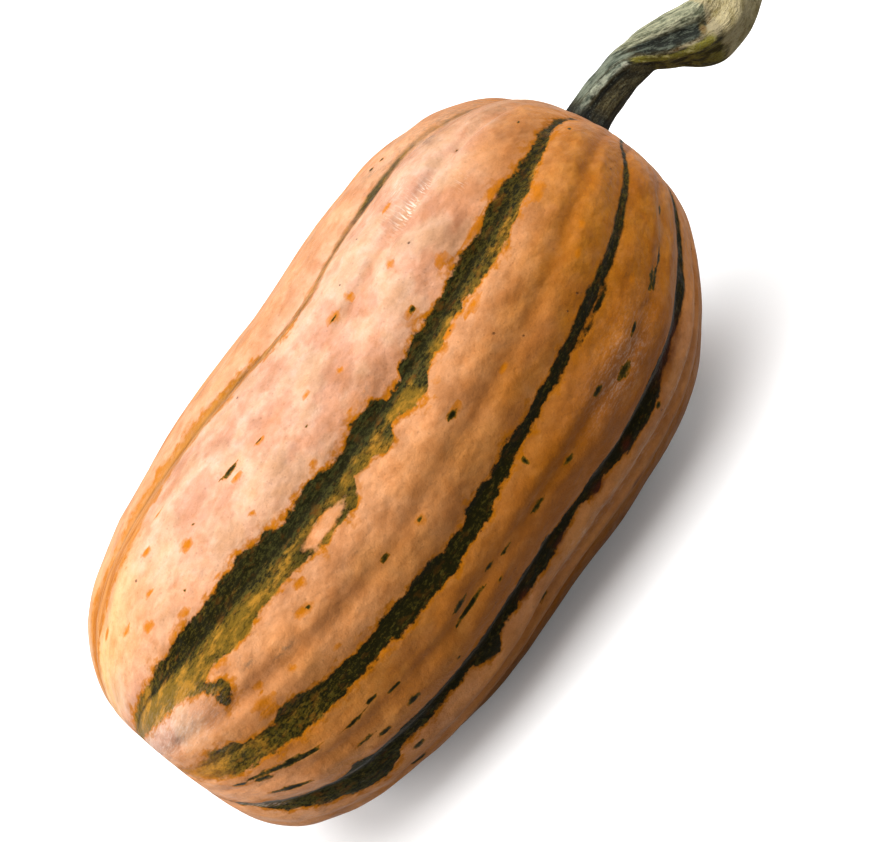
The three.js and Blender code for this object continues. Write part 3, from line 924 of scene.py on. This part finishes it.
skinTones = {
    "peach": (204, 138, 80), "pink": (206, 144, 100), "rosy": (192, 142, 118), "cream": (206, 171, 148),
    "amber": (170, 104, 21), "yellow": (216, 172, 116), "pale": (222, 200, 182), "rim": (176, 102, 6),
    "fleck": (184, 106, 8), "darkGreen": (25, 22, 1), "midGreen": (78, 64, 10), "teal": (42, 50, 26),
    "rust": (104, 62, 10), "scar": (78, 28, 10), "gold": (112, 84, 18), "goldLight": (160, 112, 32),
    "band": (166, 96, 28), "bandPale": (192, 126, 62), "brown": (70, 38, 14), "smear": (112, 92, 70),
}
skinLook = {
    "darken": (0.8, 0.68, 0.52),  # how the darker mottles and the painted shade tint the skin
    "lighten": (1.03, 1.07, 1.14),
    "roughness": 0.5,
    "sockets": {"Specular IOR Level": 0.035, "Sheen Weight": 0.18, "Sheen Roughness": 0.4},
    "bumpStrength": 0.8,
    "bumpDistance": 0.0009,  # metres
    # how far each set of coordinates is squeezed along the ribs and round the fruit
    "spaces": {
        "drawn": (0.75, 1.0, 1.0),
        "fibrous": (0.5, 1.0, 1.0),
        "streaked": (0.3, 1.0, 1.0),
        "stranded": (0.12, 1.0, 1.0),
        "haired": (1.0, 0.16, 0.16),
    },
    # each noise: its coordinates, scale, detail and roughness
    "noises": {
        "broad": ("place", 60.0, 2.0, 0.5),
        "clouds": ("drawn", 140.0, 3.0, 0.55),  # 7 mm
        "pillow": ("drawn", 150.0, 2.0, 0.5),  # shallow dimples, also in the bump and in the painted shade and light that follow it
        "mottle": ("drawn", 320.0, 3.0, 0.6),  # 3 mm
        "blots": ("place", 420.0, 3.0, 0.6),
        "small": ("drawn", 850.0, 2.0, 0.6),  # 1 mm
        "grain": ("place", 3000.0, 2.0, 0.7),
        "relief": ("place", 330.0, 3.0, 0.55),
        "yellowing": ("streaked", 160.0, 2.0, 0.5),
        "speckle": ("fibrous", 1700.0, 3.0, 0.75),
        "patches": ("fibrous", 420.0, 3.0, 0.65),
        "rust": ("fibrous", 700.0, 2.0, 0.6),
        "strands": ("stranded", 420.0, 2.0, 0.5),
        "rimWidth": ("drawn", 260.0, 3.0, 0.65),
        "rimBreak": ("drawn", 620.0, 2.0, 0.6),
        "dustAndHighlight": ("streaked", 2000.0, 3.0, 0.8),
        "smear": ("drawn", 1100.0, 3.0, 0.7),
        "hairs": ("haired", 2600.0, 2.0, 0.6),
    },
}


def makeSkinMaterial():
    material, tree, shader = startMaterial("squashSkin")
    spaces, fields = makeFields(tree, skinLook)
    zones = readMasks(tree, skinMasks)
    gold, orange, furrow, calm = (zones[name] for name in ("gold", "orange", "furrow", "calm"))
    over = layering(tree, skinTones)

    # a noise's smooth step between two of its values
    def step(name, low, high, toLow=0.0, toHigh=1.0):
        return rise(tree, fields[name], low, high, toLow, toHigh)

    # the plain skin: broad patches, the ground colours, and mottles of 7 mm to half a millimetre, with
    # painted shade in the dimples and painted light on the pillows
    skin = over("peach", "pink", step("broad", 0.38, 0.62, 0.0, 0.5))
    # amber: partly painted shade on the lower ribs
    skin = over(skin, "amber", zones["amber"], step("mottle", 0.2, 0.6, 0.75, 1.0))
    # bloom: partly painted light on the upper rib
    skin = over(skin, over("rosy", "cream", step("clouds", 0.4, 0.6)), zones["bloomAndPaintedLight"])
    skin = over(skin, "yellow", zones["yellow"], step("yellowing", 0.3, 0.6))
    darker = stretch(tree, skin, skinLook["darken"])
    skin = over(skin, darker, step("clouds", 0.48, 0.68, 0.0, 0.6))
    skin = over(skin, darker, step("mottle", 0.5, 0.72, 0.0, 0.6))
    skin = over(skin, darker, step("blots", 0.5, 0.68, 0.0, 0.4))
    skin = over(skin, stretch(tree, skin, skinLook["lighten"]), step("blots", 0.5, 0.32))
    # painted shade in the dimples
    skin = over(skin, darker, step("pillow", 0.5, 0.32, 0.0, 0.6))
    # painted shade in the furrows
    skin = over(skin, darker, furrow, 0.3)
    # painted shade in the creases and the dark patches, partly darker skin
    skin = over(skin, darker, readNumber(tree, "duskAndShade"), step("mottle", 0.25, 0.6, 0.5, 1.0))
    lightness = plus(tree, plus(tree, 0.5, fields["grain"], 0.24), fields["small"], 0.3)
    # painted light on the raised pillows, painted shade in the dimples
    lightness = plus(tree, lightness, fields["pillow"], 0.5)
    skin = addNode(tree, "VectorMath", {0: skin, "Scale": lightness}, operation="SCALE").outputs[0]

    # the green of the stripes: dark, mottled with olive and rust, and clouded with gold, with painted shade
    # along the bottom of each furrow
    lightField = plus(tree, fields["speckle"], calc(tree, "MINIMUM", gold, 0.0), 0.4)
    deep = over("darkGreen", "midGreen", rise(tree, lightField, 0.38, 0.64))
    deep = over(deep, "rust", step("rust", 0.52, 0.7, 0.0, 0.7), rise(tree, gold, -0.3, 0.1, 0.3, 1.0))
    tealField = sway(tree, zones["teal"], fields["speckle"], 2.5)
    deep = over(deep, "teal", rise(tree, tealField, 0.0, 1.0, 0.0, 0.85))
    olive = over("gold", "goldLight", step("patches", 0.44, 0.66))
    olive = over(olive, "midGreen", step("speckle", 0.5, 0.34, 0.0, 0.5))
    goldField = sway(tree, sway(tree, gold, fields["patches"], 1.8), fields["speckle"], 1.2)
    green = over(deep, olive, rise(tree, goldField, 0.05, 1.15))
    # painted shade along the bottom of the furrow
    furrowShadeLine = times(tree, rise(tree, furrow, 0.88, 1.0, 0.0, 0.75), step("speckle", 0.65, 0.45, 0.4, 1.0))
    green = over(green, "darkGreen", furrowShadeLine)
    green = over(green, over("bandPale", "band", step("strands", 0.4, 0.62)), orange, 0.92)
    green = over(green, "midGreen", furrowShadeLine, orange, 0.5)

    # stripe edges, softer where the band is orange, with an orange rim that comes and goes
    def ragged(field, scale, amount, softness):
        feeds = {"Field": field, "Place": spaces["drawn"], "Scale": scale}
        return useGroup(tree, raggedEdge, {**feeds, "Amount": amount, "Softness": softness})

    raggedness, softness = plus(tree, 2.8, calm, -1.8), plus(tree, 0.32, orange, 2.5)
    edge = ragged(readNumber(tree, "stripe"), 430.0, raggedness, softness)
    rimWidth = step("rimWidth", 0.46, 0.68, -0.9, -3.8)
    halo = rise(tree, edge["Field"], rimWidth, times(tree, rimWidth, 0.15))
    colour = over(skin, "rim", halo, step("rimBreak", 0.34, 0.54, 0.25, 1.0), plus(tree, 1.0, calm, -0.75))
    colour = over(colour, green, edge["Mask"])

    # dust and painted highlights, grey smears, then the flecks
    dustAndHighlightShare = times(tree, zones["dustAndHighlight"], step("dustAndHighlight", 0.45, 0.68, 0.1, 1.0))
    colour = over(colour, "pale", dustAndHighlightShare, 0.6)
    colour = over(colour, "smear", zones["smear"], step("smear", 0.42, 0.62, 0.1, 0.8))

    def fleckField(name, amount, softness):
        vector = readVector(tree, name)
        flat = stretch(tree, vector, (1.0, 1.0, 0.0))
        size = addNode(tree, "VectorMath", {0: flat}, operation="LENGTH").outputs["Value"]
        field = calc(tree, "SUBTRACT", 1.0, plus(tree, size, parts(tree, vector)[2], 6.0))
        return ragged(field, 600.0, amount, softness)

    spots = fleckField("orangeFleck", 2.0, 0.8)
    colour = over(colour, "fleck", spots["Mask"], step("small", 0.3, 0.6, 0.8, 1.0))
    for name, amount in (("darkFleck", 2.2), ("darkStreak", 2.8)):
        spots = fleckField(name, amount, 0.35)
        around = rise(tree, spots["Field"], -0.9, 0.2)
        colour = over(colour, "rim", around, step("mottle", 0.35, 0.6, 0.3, 1.0))
        core = over("midGreen", "darkGreen", rise(tree, spots["Field"], 0.1, 0.9))
        colour = over(colour, core, spots["Mask"])

    # pores, pin-pricks, pale scratches and the scars
    def scatter(scale, size, share):
        feeds = {"Place": spaces["place"], "Scale": scale, "Size": size, "Share": share}
        return useGroup(tree, scatteredSpots, feeds)["Mask"]

    colour = over(colour, "brown", scatter(1000.0, 0.22, 0.5), 0.16)
    pricks = scatter(230.0, 0.06, 0.3)
    colour = over(colour, "brown", pricks, 0.65)
    colour = over(colour, "pale", step("hairs", 0.52, 0.6), zones["scratch"])
    colour = over(colour, "scar", zones["scar"], step("mottle", 0.3, 0.6, 0.5, 1.0))

    rough = step("mottle", 0.3, 0.7, skinLook["roughness"] - 0.06, skinLook["roughness"] + 0.06)
    rough = plus(tree, plus(tree, rough, edge["Mask"], 0.06), dustAndHighlightShare, 0.25)
    relief = times(tree, fields["relief"], 0.6)
    for name, height in (("pillow", 1.7), ("small", 0.12), ("grain", 0.1)):
        relief = plus(tree, relief, fields[name], height)
    relief = plus(tree, plus(tree, relief, pricks, -0.2), times(tree, edge["Mask"], fields["speckle"]), 0.12)
    finishMaterial(tree, shader, skinLook, colour, rough, relief)
    return material


barkTones = {
    "flank": (44, 39, 22), "flankPale": (88, 80, 52), "grey": (126, 132, 114), "greyDark": (68, 76, 64),
    "pale": (160, 164, 142), "black": (12, 14, 6), "band": (176, 174, 142), "bandDark": (100, 104, 80),
    "yellow": (126, 118, 44), "yellowLight": (190, 180, 112), "olive": (118, 108, 44),
    # hollow: partly painted shade for the stem's hollow, partly the bark's darker colour
    "oliveDark": (58, 50, 16), "hollow": (30, 34, 28), "hollowPale": (92, 98, 84),
    "cream": (154, 142, 110), "creamBrown": (118, 92, 54), "tan": (180, 166, 126),
    "tanDark": (136, 122, 76), "root": (22, 28, 28), "knob": (190, 186, 164), "pith": (150, 130, 92),
}
barkLook = {
    "sockets": {"Specular IOR Level": 0.15},
    "bumpStrength": 0.9,
    "bumpDistance": 0.0011,  # metres
    "spaces": {"fibrous": (0.2, 1.0, 1.0), "blotched": (0.5, 1.0, 1.0)},
    "noises": {
        "fibre": ("fibrous", 1300.0, 3.0, 0.65),
        "blotch": ("blotched", 700.0, 3.0, 0.65),
        "fine": ("place", 2400.0, 2.0, 0.6),
        "wood": ("place", 900.0, 3.0, 0.6),
    },
}


def makeBarkMaterial():
    material, tree, shader = startMaterial("stemBark")
    masks = readMasks(tree, barkMasks)
    _, fields = makeFields(tree, barkLook)
    fibre, blotch, fine = fields["fibre"], fields["blotch"], fields["fine"]
    fields["both"] = calc(tree, "ADD", fibre, blotch)
    unevenness = plus(tree, plus(tree, -1.1, fibre), blotch, 1.2)

    over = layering(tree, barkTones)
    colour = over("flank", "flankPale", rise(tree, fields["both"], 0.8, 1.2))
    colour = over(colour, "flank", rise(tree, fine, 0.5, 0.3))
    # each zone: its mask made ragged by the bark's own unevenness, over two tones of bark
    for name, dark, light, field, low, high, strength in barkZones:
        edge = rise(tree, calc(tree, "ADD", masks[name], unevenness), 0.15, 0.85, 0.0, strength)
        edge = times(tree, edge, rise(tree, masks[name], 0.0, 0.25))
        colour = over(colour, over(dark, light, rise(tree, fields[field], low, high)), edge)
    colour = over(colour, "grey", rise(tree, fine, 0.54, 0.74, 0.0, 0.3))
    colour = over(colour, "flank", rise(tree, fine, 0.46, 0.3, 0.0, 0.45))
    wood = over("pith", "creamBrown", rise(tree, fields["wood"], 0.4, 0.65))
    colour = over(colour, wood, rise(tree, readNumber(tree, "cut"), 0.0, 0.06))
    rough = rise(tree, fibre, 0.3, 0.7, 0.6, 0.85)
    relief = plus(tree, plus(tree, fibre, blotch, 0.6), fine, 0.25)
    finishMaterial(tree, shader, barkLook, colour, rough, relief)
    return material


fruitPiece = makeFruit()
fruitPiece.data.materials.append(makeSkinMaterial())
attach(fruitPiece, "root")
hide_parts("squash_body")
print("fruit made:", len(fruitPiece.data.polygons), "faces")

stemPiece = makeStem()
stemPiece.data.materials.append(makeBarkMaterial())
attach(stemPiece, "root")
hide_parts("stem")
print("stem made:", len(stemPiece.data.polygons), "faces")


studio = {
    "floorSize": 6.0,  # metres
    "floorColour": (0.92, 0.92, 0.92, 1.0),
    "floorBounce": (0.24, 0.24, 0.24, 1.0),  # how pale the floor is in the light that it sends back
    "floorLift": 0.13,  # keeps the deepest shadow grey
    "sky": (1.0, 1.0, 1.0, 1.0),
    "skyStrength": 0.05,
    # each softbox: place, size in metres, power in watts
    "softboxes": {
        "overhead": ((0.03, -0.08, 1.15), 1.8, 29.5),
        "blossomSide": ((-1.0, -0.1, 0.56), 0.9, 12.0),
        "stemSide": ((1.05, -0.12, 0.5), 0.8, 5.0),
    },
    "softboxAim": (0.0, 0.0, 0.04),
    "cameraAim": (0.02116, -0.002, 0.0413),
    "azimuth": -6.0,  # degrees
    "elevation": 27.0,
    "roll": 48.64,
    "distance": 0.5,
    "lens": 97.41,
}


def makeStudio():
    scene = bpy.context.scene
    half = studio["floorSize"] / 2
    corners = [(-half, -half, 0), (half, -half, 0), (half, half, 0), (-half, half, 0)]
    mesh = bpy.data.meshes.new("floor")
    mesh.from_pydata(corners, [], [(0, 1, 2, 3)])
    floor = bpy.data.objects.new("floor", mesh)
    scene.collection.objects.link(floor)
    material, tree, shader = startMaterial("floorPaint")
    seen = addNode(tree, "LightPath").outputs["Is Camera Ray"]
    paint = blendColour(tree, seen, studio["floorBounce"], studio["floorColour"])
    tree.links.new(paint, shader.inputs["Base Color"])
    shader.inputs["Emission Color"].default_value = (1.0, 1.0, 1.0, 1.0)
    tree.links.new(times(tree, seen, studio["floorLift"]), shader.inputs["Emission Strength"])
    shader.inputs["Roughness"].default_value = 0.9
    shader.inputs["Specular IOR Level"].default_value = 0.1
    mesh.materials.append(material)

    world = bpy.data.worlds.new("studio")
    world.use_nodes = True
    background = world.node_tree.nodes["Background"]
    background.inputs[0].default_value = studio["sky"]
    background.inputs[1].default_value = studio["skyStrength"]
    scene.world = world

    for name, (place, size, power) in studio["softboxes"].items():
        lamp = bpy.data.lights.new(name, "AREA")
        lamp.shape = "DISK"
        lamp.size = size
        lamp.energy = power
        softbox = bpy.data.objects.new(name, lamp)
        softbox.location = place
        toward = Vector(studio["softboxAim"]) - Vector(place)
        softbox.rotation_euler = toward.to_track_quat("-Z", "Y").to_euler()
        scene.collection.objects.link(softbox)


def makeCamera():
    azimuth, elevation, roll = (math.radians(studio[name]) for name in ("azimuth", "elevation", "roll"))
    level = math.cos(elevation)
    back = Vector((math.sin(azimuth) * level, -math.cos(azimuth) * level, math.sin(elevation)))
    right = Vector((math.cos(azimuth), math.sin(azimuth), 0))
    up = back.cross(right)
    across = right * math.cos(roll) - up * math.sin(roll)
    upward = right * math.sin(roll) + up * math.cos(roll)
    camera = bpy.data.cameras.new("camera")
    camera.lens = studio["lens"]
    camera.sensor_width = 36
    camera.clip_start = 0.05
    holder = bpy.data.objects.new("camera", camera)
    spot = Vector(studio["cameraAim"]) + back * studio["distance"]
    turned = Matrix((across, upward, back)).transposed().to_4x4()
    holder.matrix_world = Matrix.Translation(spot) @ turned
    bpy.context.scene.collection.objects.link(holder)
    bpy.context.scene.camera = holder


makeStudio()
makeCamera()
bpy.context.scene.view_settings.view_transform = "Standard"
print("studio and camera made")
